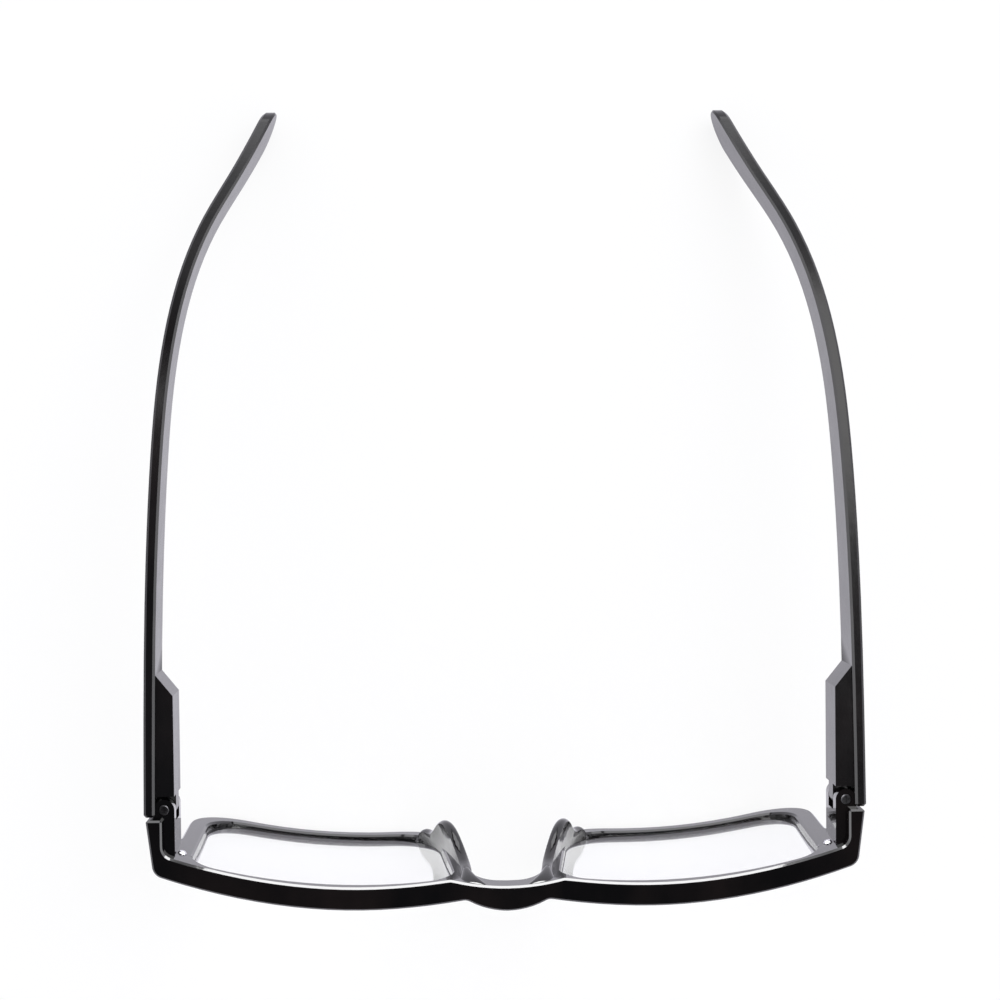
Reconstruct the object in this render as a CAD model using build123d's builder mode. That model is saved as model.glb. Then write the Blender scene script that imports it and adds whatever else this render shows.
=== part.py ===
from build123d import *
import math
import os

# Rectangular eyeglasses with a moulded front, clear lenses and two folding temples, standing on
# the lower rims and the temple tips. Millimetres. X runs across the face, Y from the front back
# to the temple tips, Z up. Left is the wearer's left, at +X. The sizes are given with Y counted
# from the front of the bridge; the finished pieces are then centred over the origin.

# Front seen from above
brow_height = 37.2
front_tilt = 7.0
notch_x = 7.6
notch_radius = 2.0
lens_arc_radius = 120.0
lens_arc_x = 25.0
lens_arc_depth = 0.93
corner_x = 65.2
corner_radius = 2.4
butt_y = 18.0
butt_outer_x = 66.5
end_piece_wall = 3.0
inner_corner_radius = 2.2
brow_depth = 4.3
bridge_rear_x = 10.5
bridge_rear_dip = 1.45
rim_depth = 3.0
front_bevel = 0.35

# Front seen from the front, where a drop is counted down from the top of the brow
bridge_drop = 1.3
bridge_height = 4.2
brow_peak_x = 27.0
end_piece_drop = 1.5
end_piece_height = 12.4
end_piece_radius = 1.6
rim_width = 3.1
rim_foot = 2.7
opening_nasal_x = 9.6
opening_temporal_x = 58.6
opening_drop = 2.5
opening_lean = 3.7
opening_side_lean = 0.7
opening_bow = 0.4
opening_upper_radius = 4.6
opening_temporal_radius = 8.0
opening_nasal_radius = 10.5
nasal_rim_width = 3.6
nasal_rim_foot = 3.2
arch_radius = 4.6

# Lens
lens_radius = 140.0
lens_thickness = 1.0
lens_recess = 0.85
lens_apex_x = 23.7
lens_apex_drop = 23.2
groove_depth = 0.6
lens_clearance = 0.03

# Hinge
hinge_x = 63.3
hinge_y = 19.6
hinge_drop = 8.0
hinge_height = 9.6
knuckle_radius = 1.95
knuckle_height = 4.0
knuckle_gap = 0.3
lug_root_y = 9.6
washer_thickness = 0.25
washer_radius = 1.75
screw_diameter = 1.2
screw_clearance = 0.05
screw_head_diameter = 1.9
screw_head_height = 0.7
screw_head_proud = 0.15
recess_width = 0.3
recess_length = 1.2
recess_depth = 0.35
insert_diameter = 2.0
insert_height = 2.0
seat_clearance = 0.02

# Temple
temple_wall = 2.0
tip_wall = 2.3
temple_gap = 0.35
temple_outer_x = 67.0
overall_depth = 152.0
temple_half_height = 5.75
tip_radius = 5.1
temple_bevel = 0.45
block_length = 18.6
block_ramp = 4.5

# Corner pin
pin_x = 60.4
pin_drop = 6.2
pin_head_diameter = 1.7
pin_head_proud = 0.45
pin_head_bevel = 0.3
pin_shank_diameter = 0.9
pin_shank_length = 1.8
pin_seat_depth = 0.3

overrun = 5.0
sharp_angle = 20.0

# Places worked out from the sizes above
side_sign = {"left": 1, "right": -1}
tilt_slope = math.tan(math.radians(front_tilt))
butt_inner_x = butt_outer_x - end_piece_wall
hinge_plane_x = hinge_x - knuckle_radius
bridge_top = brow_height - bridge_drop
arch_top = bridge_top - bridge_height
opening_top = brow_height - opening_drop
end_piece_top = brow_height - end_piece_drop
end_piece_foot = end_piece_top - end_piece_height
hinge_z = brow_height - hinge_drop
pin_z = brow_height - pin_drop
pin_head_height = pin_seat_depth + pin_head_proud
opening_middle_x = (opening_nasal_x + opening_temporal_x) / 2
hinge_top = hinge_z + hinge_height / 2
hinge_foot = hinge_z - hinge_height / 2
knuckle_top = hinge_z + knuckle_height / 2
knuckle_foot = hinge_z - knuckle_height / 2
temple_front_y = butt_y + temple_gap
knuckle_clear_radius = knuckle_radius + knuckle_gap
screw_bore = screw_diameter + 2 * screw_clearance
block_y = hinge_y + knuckle_radius + knuckle_gap + washer_thickness

# Saddle pad behind each rim: height as a share of brow_height, crest place across as a share of
# pad_crest_x, and reach behind the rim as a share of pad_reach
pad_crest_x = 11.0
pad_reach = 6.0
pad_crest_width = 1.9
pad_hollow = 0.9
pad_shares = [
    (0.87, 0.68, -0.06),
    (0.75, 0.71, 0.17),
    (0.65, 0.80, 0.50),
    (0.50, 1.00, 1.00),
    (0.40, 1.10, 0.82),
    (0.24, 1.24, 0.25),
    (0.11, 1.46, -0.12),
]

# Temple seen from above: place along the depth as a share of overall_depth, and its outer face as a
# share of temple_outer_x
temple_plan_shares = [
    (0.158, 0.9985),
    (0.355, 0.990),
    (0.549, 0.969),
    (0.697, 0.936),
    (0.796, 0.887),
    (0.855, 0.836),
    (0.914, 0.766),
    (0.978, 0.697),
    (1.040, 0.638),
]

# Temple seen from the side: place along the depth as a share of overall_depth, height of its middle
# as a share of hinge_z, and half its height as a share of temple_half_height
temple_side_shares = [
    (0.205, 1.000, 0.97),
    (0.375, 1.010, 0.92),
    (0.560, 0.995, 0.86),
    (0.645, 0.945, 0.82),
    (0.725, 0.835, 0.79),
    (0.803, 0.665, 0.78),
    (0.888, 0.430, 0.83),
]


def front_face_y(x):
    """Depth of the lens arc at x, at the height of the brow."""
    return lens_arc_depth + (x - lens_arc_x) ** 2 / (2 * lens_arc_radius)


def sharp_edges(body):
    """The edges at which the faces of a body meet at an angle."""
    faces_beside = {}
    for face in body.faces():
        for edge in face.edges():
            faces_beside.setdefault(edge, []).append(face)
    sharp = ShapeList()
    for edge, faces in faces_beside.items():
        normals = [face.normal_at(edge @ 0.5) for face in faces]
        if len(normals) == 2 and normals[0].get_angle(normals[1]) > sharp_angle:
            sharp.append(edge)
    return sharp


def on_side(piece, sign):
    """A left-hand piece as it is, or mirrored to the right-hand side."""
    return piece if sign > 0 else piece.mirror(Plane.YZ)


def lean(z):
    """How much further back the front lies at height z than at the brow."""
    return (brow_height - z) * tilt_slope


def rim_depth_at(z, brow_value, foot_value=rim_depth):
    """Front to back depth of the moulding at height z, from brow_value down to foot_value."""
    return foot_value + (brow_value - foot_value) * z / brow_height


def plan_section(z):
    """The whole front as cut level at height z, before its rims are shaped."""
    back = lean(z)
    depth = rim_depth_at(z, brow_depth)
    lens_mid_x = (notch_x + corner_x) / 2
    rear_mid_x = (bridge_rear_x + butt_inner_x) / 2
    corner_y = front_face_y(corner_x) + back
    notch_y = front_face_y(notch_x) + back
    inner_y = front_face_y(butt_inner_x) + depth + back
    bridge_rear_y = front_face_y(bridge_rear_x) + depth + back
    with BuildSketch(Plane.XY.offset(z)) as section:
        with BuildLine():
            ThreePointArc(
                (0, back),
                (notch_x / 2, back + front_face_y(notch_x) / 4),
                (notch_x, notch_y),
            )
            ThreePointArc(
                (notch_x, notch_y),
                (lens_mid_x, front_face_y(lens_mid_x) + back),
                (corner_x, corner_y),
            )
            Line((corner_x, corner_y), (butt_outer_x, butt_y))
            Line((butt_outer_x, butt_y), (butt_inner_x, butt_y))
            Line((butt_inner_x, butt_y), (butt_inner_x, inner_y))
            ThreePointArc(
                (butt_inner_x, inner_y),
                (rear_mid_x, front_face_y(rear_mid_x) + depth + back),
                (bridge_rear_x, bridge_rear_y),
            )
            ThreePointArc(
                (bridge_rear_x, bridge_rear_y),
                (bridge_rear_x / 2, bridge_rear_y - 3 * bridge_rear_dip / 4),
                (0, bridge_rear_y - bridge_rear_dip),
            )
            mirror(about=Plane.YZ)
        make_face()
        outer_corners = section.vertices().filter_by(
            lambda corner: abs(abs(corner.X) - corner_x) < seat_clearance
        )
        fillet(outer_corners, corner_radius)
        inner_corners = section.vertices().filter_by(
            lambda corner: abs(abs(corner.X) - butt_inner_x) < seat_clearance
            and corner.Y < butt_y - seat_clearance
        )
        fillet(inner_corners, inner_corner_radius)
        bends = section.vertices().filter_by(
            lambda corner: min(abs(abs(corner.X) - place) for place in (notch_x, bridge_rear_x))
            < seat_clearance
        )
        fillet(bends, notch_radius)
    return section.sketch


def opening_outline(grow):
    """Front view of one lens opening, widened by grow on every side."""
    top = opening_top + grow
    foot = rim_foot - grow
    nasal_top = (opening_nasal_x - grow, top)
    temporal_top = (opening_temporal_x + grow, top)
    temporal_foot = (opening_temporal_x - opening_side_lean + grow, foot)
    nasal_foot = (opening_nasal_x + opening_lean - grow, foot)
    with BuildSketch(Plane.XZ) as outline:
        with BuildLine():
            ThreePointArc(nasal_top, (opening_middle_x, top + opening_bow), temporal_top)
            Line(temporal_top, temporal_foot)
            ThreePointArc(temporal_foot, (opening_middle_x, foot - opening_bow), nasal_foot)
            Line(nasal_foot, nasal_top)
        make_face()
        fillet(outline.vertices().group_by(Axis.Y)[-1], opening_upper_radius + grow)
        for end, radius in ((0, opening_nasal_radius), (-1, opening_temporal_radius)):
            lower = outline.vertices().filter_by(lambda corner: corner.Y < (top + foot) / 2)
            fillet(lower.sort_by(Axis.X)[end], radius + grow)
    return outline.sketch


def lens_solid(clearance):
    """A curved lens whose edge sits in the rim groove, or with a clearance the room it takes."""
    apex_z = brow_height - lens_apex_drop
    apex_y = lens_arc_depth + lean(apex_z) + lens_recess
    tilt = math.radians(front_tilt)
    centre = Location(
        (
            lens_apex_x,
            apex_y + lens_radius * math.cos(tilt),
            apex_z + lens_radius * math.sin(tilt),
        )
    )
    with BuildPart() as lens:
        extrude(opening_outline(groove_depth + clearance), amount=overall_depth, both=True)
        with Locations(centre):
            Sphere(radius=lens_radius + clearance, mode=Mode.INTERSECT)
            Sphere(radius=lens_radius - lens_thickness - clearance, mode=Mode.SUBTRACT)
        split(bisect_by=Plane.XZ.offset(-opening_temporal_x), keep=Keep.TOP)
    return lens.part


def opening_edge_x(z):
    """Place across of the nasal edge of the lens opening at height z, round its lower corner."""
    straight_x = opening_nasal_x + opening_lean * (opening_top - z) / (opening_top - rim_foot)
    rise = min(max(opening_nasal_radius + rim_foot - z, 0), opening_nasal_radius)
    return straight_x + opening_nasal_radius - math.sqrt(opening_nasal_radius**2 - rise**2)


def pad_section(height_share, crest_share, reach_share):
    """Level cut through one saddle pad, whose root lies inside the rim."""
    z = height_share * brow_height
    edge_x = opening_edge_x(z)
    rim_front = front_face_y(opening_nasal_x) + lean(z)
    rim_rear = rim_front + rim_depth_at(z, brow_depth)
    crest = Vector(crest_share * pad_crest_x, rim_rear + reach_share * pad_reach)
    root_y = rim_front + rim_depth / 3
    nose_root = Vector(edge_x - nasal_rim_width + pad_hollow / 2, root_y)
    lens_root = Vector(edge_x - pad_hollow / 4, root_y)
    nose_tip = crest - Vector(pad_crest_width / 2, pad_crest_width / 4)
    lens_tip = crest + Vector(pad_crest_width / 2, -pad_crest_width / 3)
    flank = (lens_root + lens_tip) / 2
    hollow = Vector(-1, -1).normalized() * pad_hollow * max(reach_share, 1 / 8)
    with BuildSketch(Plane.XY.offset(z)) as section:
        with BuildLine():
            Line(nose_root, nose_tip)
            ThreePointArc(nose_tip, crest, lens_tip)
            ThreePointArc(lens_tip, flank + hollow, lens_root)
            Line(lens_root, nose_root)
        make_face()
    return section.sketch


# Front: brow, rims, bridge, end pieces, pads and hinge lugs in one moulding
with BuildPart() as nose_pad:
    loft([pad_section(*shares) for shares in reversed(pad_shares)])

with BuildPart() as hinge_lug:
    with BuildSketch(Plane.XY.offset(hinge_foot)) as lug_plan:
        with BuildLine():
            Polyline(
                (hinge_plane_x, lug_root_y),
                (hinge_plane_x, hinge_y),
                (hinge_x + knuckle_radius, hinge_y),
                (hinge_x + knuckle_radius, butt_y - end_piece_wall),
                (hinge_plane_x + end_piece_wall, lug_root_y + end_piece_wall),
                close=True,
            )
        make_face()
        with Locations((hinge_x, hinge_y)):
            Circle(knuckle_radius)
    extrude(amount=hinge_height)

with BuildPart() as knuckle_slot:
    with BuildSketch(Plane.XY.offset(knuckle_foot - knuckle_gap)):
        with Locations((hinge_x, hinge_y)):
            Circle(knuckle_clear_radius)
            Rectangle(
                3 * knuckle_radius,
                2 * knuckle_clear_radius,
                align=(Align.CENTER, Align.MIN),
            )
            Rectangle(
                2 * knuckle_clear_radius,
                knuckle_clear_radius,
                align=(Align.MAX, Align.MAX),
            )
    extrude(amount=knuckle_height + 2 * knuckle_gap)

with BuildPart() as hinge_bores:
    with Locations((hinge_x, hinge_y, hinge_foot - overrun)):
        Cylinder(
            screw_bore / 2,
            hinge_height + 2 * overrun,
            align=(Align.CENTER, Align.CENTER, Align.MIN),
        )
        Cylinder(
            insert_diameter / 2 + seat_clearance,
            insert_height + overrun,
            align=(Align.CENTER, Align.CENTER, Align.MIN),
        )
    with Locations((hinge_x, hinge_y, hinge_top - screw_head_height + screw_head_proud)):
        Cylinder(
            screw_head_diameter / 2 + screw_clearance,
            overrun,
            align=(Align.CENTER, Align.CENTER, Align.MIN),
        )

with BuildPart() as front_shell:
    loft([plan_section(-overrun), plan_section(brow_height + overrun)])
    outer_x = butt_outer_x + overrun
    rim_outer_x = opening_temporal_x + rim_width
    nasal_foot_x = opening_nasal_x + opening_lean - nasal_rim_foot
    with BuildSketch(Plane.XZ):
        with BuildLine():
            Spline(
                (0, bridge_top),
                (brow_peak_x, brow_height),
                (outer_x, end_piece_top),
                tangents=[(1, 0), (outer_x, -end_piece_drop)],
            )
            FilletPolyline(
                (outer_x, end_piece_top),
                (outer_x, end_piece_foot),
                (rim_outer_x, end_piece_foot),
                (rim_outer_x - opening_side_lean, 0),
                (nasal_foot_x, 0),
                (opening_nasal_x - nasal_rim_width, arch_top),
                (0, arch_top),
                radius=[
                    end_piece_radius,
                    end_piece_radius,
                    opening_temporal_radius + rim_width,
                    opening_nasal_radius + nasal_rim_foot,
                    arch_radius,
                ],
            )
            mirror(about=Plane.YZ)
        make_face()
    extrude(amount=overall_depth, both=True, mode=Mode.INTERSECT)
    opening = opening_outline(0)
    extrude(opening, amount=overall_depth, both=True, mode=Mode.SUBTRACT)
    extrude(opening.mirror(Plane.YZ), amount=overall_depth, both=True, mode=Mode.SUBTRACT)
    chamfer(sharp_edges(front_shell.part), front_bevel)

# The corner pin stands square on the rear face, beside the hinge lug
rear_point, rear_normal = front_shell.part.find_intersection_points(
    Axis((pin_x, 0, pin_z), (0, 1, 0))
)[-1]
pin_plane = Plane(origin=rear_point, z_dir=rear_normal)

with BuildPart() as pin_seat:
    with BuildSketch(pin_plane.offset(-pin_seat_depth)):
        Circle(pin_head_diameter / 2 + seat_clearance)
    extrude(amount=pin_head_height)
    with BuildSketch(pin_plane.offset(-pin_seat_depth)):
        Circle(pin_shank_diameter / 2 + seat_clearance)
    extrude(amount=-pin_shank_length - seat_clearance)

with BuildPart() as front_frame:
    add(front_shell.part)
    for sign in side_sign.values():
        for feature in (nose_pad, hinge_lug):
            add(on_side(feature.part, sign))
        for room in (knuckle_slot, hinge_bores, pin_seat):
            add(on_side(room.part, sign), mode=Mode.SUBTRACT)
        add(on_side(lens_solid(lens_clearance), sign), mode=Mode.SUBTRACT)

with BuildPart() as lens:
    add(lens_solid(0))

# Temple: a bowed wall seen from above, cut to its side outline, with the hinge block inside it
def beside(points, distances):
    """Points set off square to a run of points, to its left, each by its own distance."""
    last = len(points) - 1
    moved = []
    for place, (point, distance) in enumerate(zip(points, distances)):
        along = points[min(place + 1, last)] - points[max(place - 1, 0)]
        moved.append(point + along.normalized().rotate(Axis.Z, 90) * distance)
    return moved


outer_points = [Vector(temple_outer_x, temple_front_y - overrun)] + [
    Vector(across * temple_outer_x, along * overall_depth) for along, across in temple_plan_shares
]
walls = [
    temple_wall + (tip_wall - temple_wall) * max(point.Y, 0) / overall_depth
    for point in outer_points
]
inner_points = beside(outer_points, walls)
spine = [Vector(temple_front_y - overrun, hinge_z)] + [
    Vector(along * overall_depth, height * hinge_z) for along, height, _ in temple_side_shares
]
spine.append(Vector(overall_depth - tip_radius, tip_radius))
half_heights = [temple_half_height] + [half * temple_half_height for *_, half in temple_side_shares]
half_heights.append(tip_radius)
top_points = beside(spine, half_heights)
foot_points = beside(spine, [-half for half in half_heights])
tip_point = spine[-1] + (spine[-1] - spine[-2]).normalized() * tip_radius

with BuildPart() as temple:
    with BuildSketch(Plane.XY.offset(-overrun)):
        with BuildLine():
            Spline(*outer_points)
            Line(outer_points[-1], inner_points[-1])
            Spline(*inner_points)
            Line(inner_points[0], outer_points[0])
        make_face()
    extrude(amount=brow_height + 2 * overrun)
    with BuildSketch(Plane.YZ):
        with BuildLine():
            Spline(*top_points)
            ThreePointArc(top_points[-1], tip_point, foot_points[-1])
            Spline(*foot_points)
            Line(foot_points[0], top_points[0])
        make_face()
    extrude(amount=temple_outer_x + overrun, mode=Mode.INTERSECT)
    split(bisect_by=Plane.XZ.offset(-temple_front_y), keep=Keep.BOTTOM)
    chamfer(sharp_edges(temple.part), temple_bevel)
    hinge_room_foot = hinge_foot - knuckle_gap
    with BuildSketch(Plane.XY.offset(hinge_room_foot)):
        with Locations((hinge_x, hinge_y)):
            Circle(knuckle_clear_radius)
            Rectangle(
                2 * knuckle_clear_radius,
                overrun,
                align=(Align.CENTER, Align.MAX),
            )
    extrude(amount=hinge_height + 2 * knuckle_gap, mode=Mode.SUBTRACT)
    with BuildSketch(Plane.XY.offset(hinge_foot)):
        with BuildLine():
            Polyline(
                (hinge_plane_x, block_y),
                (temple_outer_x - temple_wall / 2, block_y),
                (temple_outer_x - temple_wall / 2, block_y + block_length + block_ramp),
                (temple_outer_x - temple_wall, block_y + block_length + block_ramp),
                (hinge_plane_x, block_y + block_length),
                close=True,
            )
        make_face()
    extrude(amount=hinge_height)
    with BuildSketch(Plane.XY.offset(knuckle_foot)):
        with Locations((hinge_x, hinge_y)):
            Circle(knuckle_radius)
            Rectangle(
                2 * knuckle_radius,
                block_y - hinge_y + temple_wall,
                align=(Align.CENTER, Align.MIN),
            )
    extrude(amount=knuckle_height)
    with Locations((hinge_x, hinge_y, hinge_z)):
        Cylinder(screw_bore / 2, hinge_height, mode=Mode.SUBTRACT)

# Hinge hardware
with BuildPart() as hinge_screw:
    screw_top = hinge_top + screw_head_proud
    with Locations((hinge_x, hinge_y, screw_top)):
        Cylinder(
            screw_head_diameter / 2,
            screw_head_height,
            align=(Align.CENTER, Align.CENTER, Align.MAX),
        )
    chamfer(hinge_screw.edges().group_by(Axis.Z)[-1], screw_head_proud)
    with Locations((hinge_x, hinge_y, screw_top - screw_head_height)):
        Cylinder(
            screw_diameter / 2,
            hinge_height + screw_head_proud - screw_head_height,
            align=(Align.CENTER, Align.CENTER, Align.MAX),
        )
    with BuildSketch(Plane.XY.offset(screw_top)):
        with Locations((hinge_x, hinge_y)):
            Rectangle(recess_length, recess_width)
            Rectangle(recess_width, recess_length)
    extrude(amount=-recess_depth, mode=Mode.SUBTRACT)

with BuildPart() as threaded_insert:
    with Locations((hinge_x, hinge_y, hinge_foot)):
        Cylinder(
            insert_diameter / 2,
            insert_height,
            align=(Align.CENTER, Align.CENTER, Align.MIN),
        )
        Cylinder(
            screw_diameter / 2 + seat_clearance,
            insert_height,
            align=(Align.CENTER, Align.CENTER, Align.MIN),
            mode=Mode.SUBTRACT,
        )


def washer(middle_z):
    """A flat washer around the hinge screw, centred at height middle_z."""
    with BuildPart() as ring:
        with Locations((hinge_x, hinge_y, middle_z)):
            Cylinder(washer_radius, washer_thickness)
            Cylinder(screw_bore / 2, washer_thickness, mode=Mode.SUBTRACT)
    return ring.part


with BuildPart() as corner_pin:
    with BuildSketch(pin_plane.offset(-pin_seat_depth)):
        Circle(pin_head_diameter / 2)
    extrude(amount=pin_head_height)
    head_rim = corner_pin.edges().sort_by(Axis(pin_plane.origin, pin_plane.z_dir))[-1]
    chamfer(head_rim, pin_head_bevel)
    with BuildSketch(pin_plane.offset(-pin_seat_depth)):
        Circle(pin_shank_diameter / 2)
    extrude(amount=-pin_shank_length)

# The finished pieces, centred over the origin with the rims and tips on the surface
pieces = {"front_frame": front_frame.part}
for side, sign in side_sign.items():
    upper_gap_z = knuckle_top + knuckle_gap / 2
    lower_gap_z = knuckle_foot - knuckle_gap / 2
    for name, piece in {
        "lens": lens.part,
        "temple": temple.part,
        "hinge_screw": hinge_screw.part,
        "threaded_insert": threaded_insert.part,
        "upper_washer": washer(upper_gap_z),
        "lower_washer": washer(lower_gap_z),
        "corner_pin": corner_pin.part,
    }.items():
        pieces[f"{name}_{side}"] = on_side(piece, sign)

extent = Compound(list(pieces.values())).bounding_box()
settled = Location((0, -(extent.min.Y + extent.max.Y) / 2, -extent.min.Z))

os.makedirs("parts", exist_ok=True)
for name, piece in pieces.items():
    finished = piece.moved(settled)
    finished.label = name
    export_step(finished, f"parts/{name}.step")
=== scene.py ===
import math

import bmesh
import bpy
from mathutils import Euler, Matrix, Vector


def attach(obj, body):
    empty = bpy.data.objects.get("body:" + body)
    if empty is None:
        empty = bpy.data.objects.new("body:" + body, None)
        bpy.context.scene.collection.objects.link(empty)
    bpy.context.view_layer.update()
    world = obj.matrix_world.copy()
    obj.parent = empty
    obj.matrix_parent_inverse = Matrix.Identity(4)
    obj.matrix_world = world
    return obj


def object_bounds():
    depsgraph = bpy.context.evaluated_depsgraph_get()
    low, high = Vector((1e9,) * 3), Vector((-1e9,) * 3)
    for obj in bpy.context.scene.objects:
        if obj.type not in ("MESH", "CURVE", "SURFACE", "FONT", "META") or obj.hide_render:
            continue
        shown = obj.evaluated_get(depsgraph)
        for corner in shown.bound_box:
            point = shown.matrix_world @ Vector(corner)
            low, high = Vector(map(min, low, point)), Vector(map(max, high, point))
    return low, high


# Rectangular eyeglasses in deep gloss plastic with clear lenses, seen from above on a white
# table. Metres, in the frame of the CAD model.

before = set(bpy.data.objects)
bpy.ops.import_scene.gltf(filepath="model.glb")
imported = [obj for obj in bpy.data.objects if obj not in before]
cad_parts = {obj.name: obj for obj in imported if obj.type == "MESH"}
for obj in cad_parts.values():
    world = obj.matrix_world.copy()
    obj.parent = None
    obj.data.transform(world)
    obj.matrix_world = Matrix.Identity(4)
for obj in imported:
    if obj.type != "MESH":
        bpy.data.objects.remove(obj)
cad_low, cad_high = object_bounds()

MILLIMETRE = 0.001

# Camera
CAMERA_PLACE = (-0.0129, 0.0115, 0.4169)
CAMERA_TURN_DEGREES = (-1.692, -1.85, -0.605)
CAMERA_LENS_MM = 74.75
CAMERA_SENSOR_MM = 36.0
CAMERA_NEAR = 0.01
CAMERA_FAR = 50.0

# Room and table
WHITE = (1.0, 1.0, 1.0)
WHITE_LEVEL = 1.0
ROOM_COLOUR = (0.97, 0.97, 1.0)
ROOM_LEVEL = 0.9
FLOOR_COLOUR = (0.86, 0.86, 0.88)
FLOOR_SIZE = 4.0
FLOOR_GAP = 0.00002
FLOOR_GLOW_SHARE = 0.85
FLOOR_TINT_IN_GLOSS = (0.93, 0.91, 1.0)
# The room as the gloss sees it: sine of the angle above the horizon, level
GLOSS_ROOM_LEVELS = [
    (0.00, 1.0),
    (0.03, 2.5),
    (0.30, 2.5),
    (0.40, 1.0),
    (0.75, 0.04),
]

# Lights: a broad lamp overhead, and a strip between the temples that faces the brow
LAMP_PLACE = (0.5, 0.6, 1.4)
LAMP_SIZE = 1.2
LAMP_WATTS = 12.0
STRIP_PLACE = (0.0, -0.02, 0.047)
STRIP_TURN_DEGREES = (-90.0, 0.0, 0.0)
STRIP_WIDTH = 0.1
STRIP_HEIGHT = 0.02
STRIP_WATTS = 0.07

# Optical constants
PLASTIC_IOR = 1.52
COAT_IOR = 1.5
COAT_ROUGHNESS = 0.03
LENS_IOR = 1.5
NYLON_IOR = 1.53

# Root of each saddle pad: the pad's ridge runs on up the rear face and flares out under the
# brow. Millimetres: height, middle across, half width, and how far back the ridge stands,
# counted from the front of the bridge.
PAD_ROOT_ROWS = [
    (28.6, 7.75, 0.75, 7.55),
    (29.6, 7.68, 0.95, 7.49),
    (30.4, 7.60, 1.12, 7.44),
    (31.2, 7.50, 1.30, 7.27),
    (32.2, 7.32, 1.60, 6.97),
    (33.2, 7.08, 2.00, 6.60),
    (34.0, 6.85, 2.40, 6.24),
    (34.8, 6.60, 2.80, 5.76),
    (35.2, 6.48, 3.00, 5.44),
    (35.5, 6.40, 3.12, 5.12),
    (35.8, 6.35, 3.20, 4.70),
]
PAD_ROOT_FOOT = 4.4
PAD_ROOT_SQUARENESS = 2.4
PAD_ROOT_STEPS = 28
BRIDGE_FRONT_MM = -76.1012

# Sockets of Blender's Mix node, which share their names
MIX_FACTOR = 0
MIX_LEVEL_A = 2
MIX_LEVEL_B = 3
MIX_COLOUR_A = 6
MIX_COLOUR_B = 7
MIX_COLOUR_RESULT = 2

scene = bpy.context.scene
scene.view_settings.view_transform = "Standard"


# Node helpers
def new_material(name):
    """An empty node material and its node tree."""
    material = bpy.data.materials.new(name)
    material.use_nodes = True
    tree = material.node_tree
    tree.nodes.clear()
    return material, tree


def add_node(tree, kind, inputs=None, **settings):
    """A node with its settings, and its inputs set to values or linked from output sockets."""
    node = tree.nodes.new(kind)
    for key, value in settings.items():
        setattr(node, key, value)
    for key, value in (inputs or {}).items():
        socket = node.inputs[key]
        if isinstance(value, bpy.types.NodeSocket):
            tree.links.new(value, socket)
        else:
            socket.default_value = value
    return node


def noise(tree, coords, scale, detail=3.0, roughness=0.55, stretch=(1.0, 1.0, 1.0)):
    """A noise factor on object coordinates, drawn out along the axes by stretch."""
    mapping = add_node(tree, "ShaderNodeMapping", {"Vector": coords, "Scale": stretch})
    texture = add_node(
        tree,
        "ShaderNodeTexNoise",
        {
            "Vector": mapping.outputs["Vector"],
            "Scale": scale,
            "Detail": detail,
            "Roughness": roughness,
        },
    )
    return texture.outputs["Fac"]


def spread(tree, value, low, high, from_low=0.3, from_high=0.7):
    """A factor spread from one range to another and held inside it."""
    return add_node(
        tree,
        "ShaderNodeMapRange",
        {
            "Value": value,
            "From Min": from_low,
            "From Max": from_high,
            "To Min": low,
            "To Max": high,
        },
    ).outputs["Result"]


def blend_colours(tree, factor, first, second):
    """Two colours mixed by a factor."""
    inputs = {MIX_FACTOR: factor, MIX_COLOUR_A: rgba(first), MIX_COLOUR_B: rgba(second)}
    node = add_node(tree, "ShaderNodeMix", inputs, data_type="RGBA")
    return node.outputs[MIX_COLOUR_RESULT]


def blend_levels(tree, factor, first, second):
    """Two numbers mixed by a factor."""
    inputs = {MIX_FACTOR: factor, MIX_LEVEL_A: first, MIX_LEVEL_B: second}
    return add_node(tree, "ShaderNodeMix", inputs).outputs[0]


def combine(tree, operation, first, second):
    """Two numbers joined by an arithmetic operation, held between 0 and 1."""
    return add_node(
        tree,
        "ShaderNodeMath",
        {0: first, 1: second},
        operation=operation,
        use_clamp=True,
    ).outputs[0]


def bump(tree, height, strength, distance):
    """A normal from a height."""
    return add_node(
        tree,
        "ShaderNodeBump",
        {"Height": height, "Strength": strength, "Distance": distance},
    ).outputs["Normal"]


def rgba(colour):
    """A colour with full alpha."""
    return (*colour, 1.0)


def ray_kinds(tree):
    """Whether the camera looks at the surface straight, in a gloss, or through a lens."""
    path = add_node(tree, "ShaderNodeLightPath")
    kinds = ("Is Camera Ray", "Is Glossy Ray", "Is Transmission Ray")
    return [path.outputs[kind] for kind in kinds]


def finish_material(tree, shader_output):
    """Connects the shader to the material's output."""
    output = tree.nodes.new("ShaderNodeOutputMaterial")
    tree.links.new(shader_output, output.inputs["Surface"])


def object_coords(tree):
    """Coordinates that stay with the piece."""
    return add_node(tree, "ShaderNodeTexCoord").outputs["Object"]


def principled(tree, inputs):
    """Ends the material with a Principled shader."""
    finish_material(tree, add_node(tree, "ShaderNodeBsdfPrincipled", inputs).outputs["BSDF"])


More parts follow.
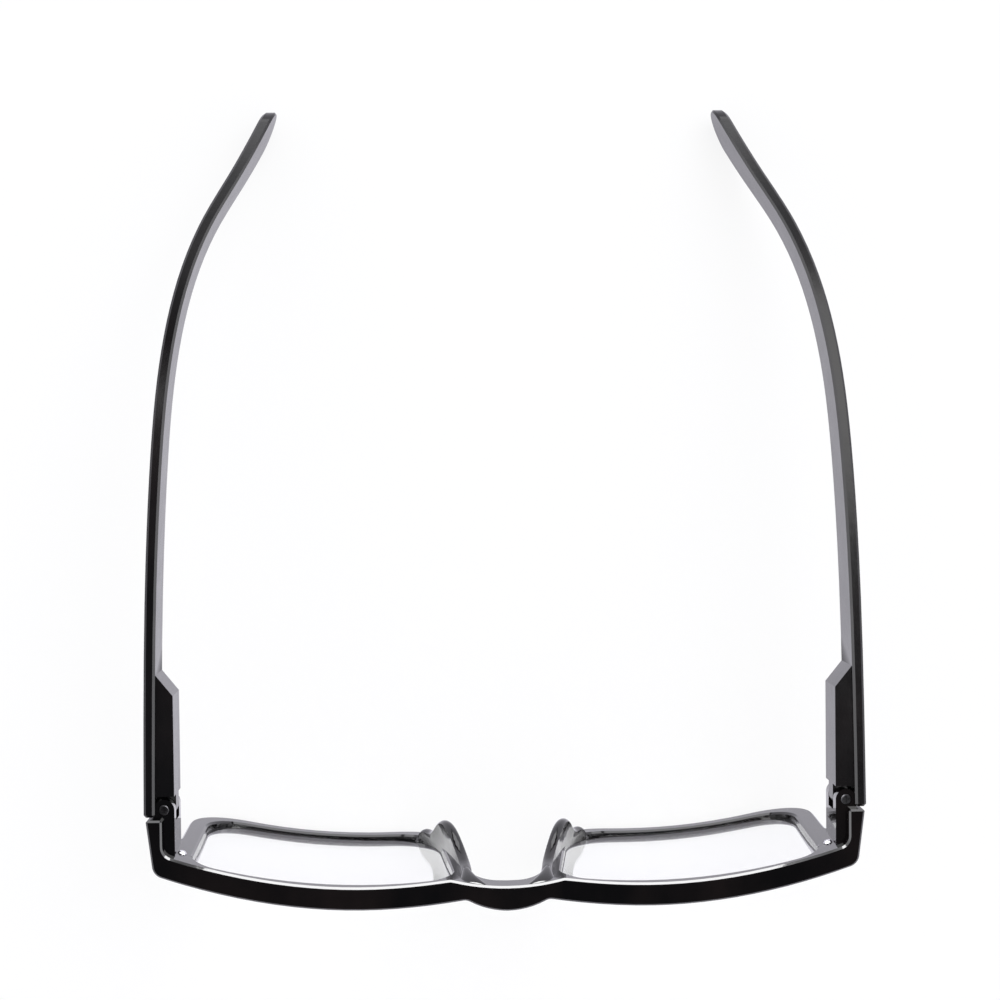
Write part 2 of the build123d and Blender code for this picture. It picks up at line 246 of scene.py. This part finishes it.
# Materials
def gloss_plastic(name, deep, warm, roughness, coat):
    """Polished injection-moulded plastic: near black, with faint flow marks and hand polish."""
    material, tree = new_material(name)
    coords = object_coords(tree)
    flow = noise(tree, coords, scale=55.0, detail=4.0, roughness=0.6, stretch=(1.0, 0.5, 1.6))
    flow_share = spread(tree, flow, low=0.0, high=1.0, from_low=0.42, from_high=0.68)
    polish = noise(tree, coords, scale=210.0, detail=5.0, roughness=0.62)
    ripple = noise(tree, coords, scale=900.0, detail=2.0, roughness=0.5)
    principled(
        tree,
        {
            "Base Color": blend_colours(tree, flow_share, deep, warm),
            "Roughness": spread(tree, polish, *roughness),
            "IOR": PLASTIC_IOR,
            "Coat Weight": coat,
            "Coat Roughness": COAT_ROUGHNESS,
            "Coat IOR": COAT_IOR,
            "Normal": bump(tree, ripple, strength=0.05, distance=0.0002),
        },
    )
    return material


def clear_lens(name, colour, roughness):
    """Clear moulded lens with a trace of hand marks."""
    material, tree = new_material(name)
    smudge = noise(tree, object_coords(tree), scale=90.0, detail=4.0, roughness=0.6)
    principled(
        tree,
        {
            "Base Color": rgba(colour),
            "Roughness": spread(tree, smudge, *roughness, from_low=0.5, from_high=0.8),
            "IOR": LENS_IOR,
            "Transmission Weight": 1.0,
        },
    )
    return material


def turned_metal(name, colour, dark, roughness):
    """Small turned metal part with fine tool marks."""
    material, tree = new_material(name)
    coords = object_coords(tree)
    marks = noise(
        tree, coords, scale=2600.0, detail=2.0, roughness=0.5, stretch=(1.0, 1.0, 6.0)
    )
    tone = noise(tree, coords, scale=700.0, detail=3.0, roughness=0.6)
    tone_share = spread(tree, tone, low=0.0, high=1.0)
    principled(
        tree,
        {
            "Base Color": blend_colours(tree, tone_share, dark, colour),
            "Metallic": 1.0,
            "Roughness": spread(tree, marks, *roughness),
            "Normal": bump(tree, marks, strength=0.15, distance=0.00005),
        },
    )
    return material


def nylon(name, colour, pale, roughness):
    """Pale moulded nylon of the hinge washers."""
    material, tree = new_material(name)
    grain = noise(tree, object_coords(tree), scale=1500.0, detail=3.0, roughness=0.6)
    principled(
        tree,
        {
            "Base Color": blend_colours(tree, grain, colour, pale),
            "Roughness": spread(tree, grain, *roughness),
            "IOR": NYLON_IOR,
        },
    )
    return material


frame_plastic = gloss_plastic(
    "frame_plastic",
    deep=(0.0015, 0.0014, 0.0018),
    warm=(0.007, 0.005, 0.005),
    roughness=(0.05, 0.1),
    coat=0.65,
)
temple_plastic = gloss_plastic(
    "temple_plastic",
    deep=(0.003, 0.0028, 0.0034),
    warm=(0.009, 0.007, 0.0075),
    roughness=(0.17, 0.22),
    coat=0.0,
)
lens_plastic = clear_lens("lens_plastic", colour=(0.985, 0.99, 0.995), roughness=(0.0, 0.03))
screw_steel = turned_metal(
    "screw_steel", colour=(0.085, 0.083, 0.088), dark=(0.03, 0.03, 0.033), roughness=(0.34, 0.5)
)
pin_steel = turned_metal(
    "pin_steel", colour=(0.86, 0.85, 0.88), dark=(0.62, 0.61, 0.64), roughness=(0.08, 0.2)
)
insert_brass = turned_metal(
    "insert_brass", colour=(0.78, 0.56, 0.26), dark=(0.55, 0.38, 0.17), roughness=(0.2, 0.38)
)
washer_nylon = nylon(
    "washer_nylon", colour=(0.62, 0.60, 0.54), pale=(0.76, 0.74, 0.68), roughness=(0.35, 0.55)
)

MATERIAL_OF = {
    "front_frame": frame_plastic,
    "lens": lens_plastic,
    "temple": temple_plastic,
    "hinge_screw": screw_steel,
    "threaded_insert": insert_brass,
    "upper_washer": washer_nylon,
    "lower_washer": washer_nylon,
    "corner_pin": pin_steel,
}

for node_name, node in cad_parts.items():
    kind = node_name.removesuffix("_left").removesuffix("_right")
    material = MATERIAL_OF[kind]
    if node.material_slots:
        for material_slot in node.material_slots:
            material_slot.material = material
    else:
        node.data.materials.append(material)
    if kind == "lens":
        node.visible_shadow = False


# Saddle pads' roots
def pad_root_loop(mesh, side, height, middle, half_width, ridge):
    """One level section of a pad root: a squarish arch on a flat foot inside the front."""
    power = 2.0 / PAD_ROOT_SQUARENESS
    loop = []
    for step in range(PAD_ROOT_STEPS):
        turn = 2.0 * math.pi * step / PAD_ROOT_STEPS
        cosine, sine = math.cos(turn), math.sin(turn)
        across = middle + half_width * math.copysign(abs(cosine) ** power, cosine)
        rise = (ridge - PAD_ROOT_FOOT) * max(math.copysign(abs(sine) ** power, sine), 0.0)
        place = Vector((side * across, BRIDGE_FRONT_MM + PAD_ROOT_FOOT + rise, height))
        loop.append(mesh.verts.new(place * MILLIMETRE))
    return loop


def pad_root(name, side):
    """A closed, tapering ridge from the pad's crest up to the brow, on one side of the nose."""
    mesh = bmesh.new()
    loops = [pad_root_loop(mesh, side, *row) for row in PAD_ROOT_ROWS]
    for lower, upper in zip(loops, loops[1:]):
        for step in range(PAD_ROOT_STEPS):
            after = (step + 1) % PAD_ROOT_STEPS
            side_face = (lower[step], lower[after], upper[after], upper[step])
            mesh.faces.new(side_face).smooth = True
    mesh.faces.new(list(reversed(loops[0])))
    mesh.faces.new(loops[-1])
    bmesh.ops.recalc_face_normals(mesh, faces=mesh.faces)
    data = bpy.data.meshes.new(name)
    mesh.to_mesh(data)
    mesh.free()
    piece = bpy.data.objects.new(name, data)
    scene.collection.objects.link(piece)
    data.materials.append(frame_plastic)
    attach(piece, "front")


for side, side_name in ((1, "left"), (-1, "right")):
    pad_root(f"pad_root_{side_name}", side)

# Floor: white to the eye and through the lenses, pale in the gloss, with the shadow kept
floor_material, tree = new_material("floor_white")
by_eye, in_gloss, through_lens = ray_kinds(tree)
seen = combine(tree, "MAXIMUM", combine(tree, "MAXIMUM", by_eye, in_gloss), through_lens)
glow_share = combine(tree, "MULTIPLY", seen, FLOOR_GLOW_SHARE)
mirrored = combine(tree, "SUBTRACT", in_gloss, through_lens)
glow_colour = blend_colours(tree, mirrored, WHITE, FLOOR_TINT_IN_GLOSS)
matt = add_node(tree, "ShaderNodeBsdfDiffuse", {"Color": rgba(FLOOR_COLOUR)})
glow = add_node(tree, "ShaderNodeEmission", {"Color": glow_colour, "Strength": WHITE_LEVEL})
floor_shader = add_node(
    tree, "ShaderNodeMixShader", {0: glow_share, 1: matt.outputs[0], 2: glow.outputs[0]}
)
finish_material(tree, floor_shader.outputs[0])

bpy.ops.mesh.primitive_plane_add(size=FLOOR_SIZE, location=(0, 0, cad_low[2] - FLOOR_GAP))
floor = bpy.context.object
floor.name = "floor"
floor.data.materials.append(floor_material)

# Room: white to the eye; in the gloss it fades from a bright horizon to a dark ceiling
world = bpy.data.worlds.new("room")
scene.world = world
world.use_nodes = True
tree = world.node_tree
tree.nodes.clear()
by_eye, in_gloss, through_lens = ray_kinds(tree)
direction = add_node(tree, "ShaderNodeTexCoord").outputs["Generated"]
height = add_node(tree, "ShaderNodeSeparateXYZ", {0: direction}).outputs["Z"]
ramp = add_node(tree, "ShaderNodeValToRGB", {0: height})
stops = ramp.color_ramp.elements
while len(stops) < len(GLOSS_ROOM_LEVELS):
    stops.new(1.0)
top_level = max(level for _, level in GLOSS_ROOM_LEVELS)
for stop, (place, level) in zip(stops, GLOSS_ROOM_LEVELS):
    stop.position = place
    stop.color = rgba([level / top_level] * 3)
gloss_level = add_node(
    tree, "ShaderNodeMath", {0: ramp.outputs[0], 1: top_level}, operation="MULTIPLY"
).outputs[0]
room_level = blend_levels(tree, in_gloss, ROOM_LEVEL, gloss_level)
seen = combine(tree, "MAXIMUM", by_eye, through_lens)
seen_level = blend_levels(tree, seen, room_level, WHITE_LEVEL)
sky = add_node(
    tree, "ShaderNodeBackground", {"Color": rgba(ROOM_COLOUR), "Strength": seen_level}
)
white = add_node(tree, "ShaderNodeBackground", {"Color": rgba(WHITE), "Strength": WHITE_LEVEL})
room = add_node(tree, "ShaderNodeMixShader", {0: by_eye, 1: sky.outputs[0], 2: white.outputs[0]})
world_output = tree.nodes.new("ShaderNodeOutputWorld")
tree.links.new(room.outputs[0], world_output.inputs["Surface"])


def area_light(name, size, size_y, watts, place):
    """A rectangular light at a place, facing down until it is turned."""
    light = bpy.data.lights.new(name, "AREA")
    light.shape = "RECTANGLE"
    light.size = size
    light.size_y = size_y
    light.energy = watts
    holder = bpy.data.objects.new(name, light)
    holder.location = place
    scene.collection.objects.link(holder)
    return holder


def turn_of(degrees):
    """A turn about X, Y and Z in degrees."""
    return Euler([math.radians(turn) for turn in degrees], "XYZ")


# One broad lamp overhead, off to the side, for the soft shadow on the table
lamp_holder = area_light("overhead", LAMP_SIZE, LAMP_SIZE, LAMP_WATTS, LAMP_PLACE)
lamp_holder.rotation_mode = "QUATERNION"
lamp_holder.rotation_quaternion = Vector(LAMP_PLACE).to_track_quat("Z", "Y")

# Strip light between the temples, which only the gloss sees: it lines the rear edge of the brow
strip_holder = area_light("strip", STRIP_WIDTH, STRIP_HEIGHT, STRIP_WATTS, STRIP_PLACE)
strip_holder.rotation_euler = turn_of(STRIP_TURN_DEGREES)
strip_holder.visible_camera = False
strip_holder.visible_diffuse = False
strip_holder.visible_transmission = False

# Camera over the table
camera_data = bpy.data.cameras.new("camera")
camera_data.lens = CAMERA_LENS_MM
camera_data.sensor_width = CAMERA_SENSOR_MM
camera_data.clip_start = CAMERA_NEAR
camera_data.clip_end = CAMERA_FAR
camera = bpy.data.objects.new("camera", camera_data)
camera.location = CAMERA_PLACE
camera.rotation_euler = turn_of(CAMERA_TURN_DEGREES)
scene.collection.objects.link(camera)
scene.camera = camera
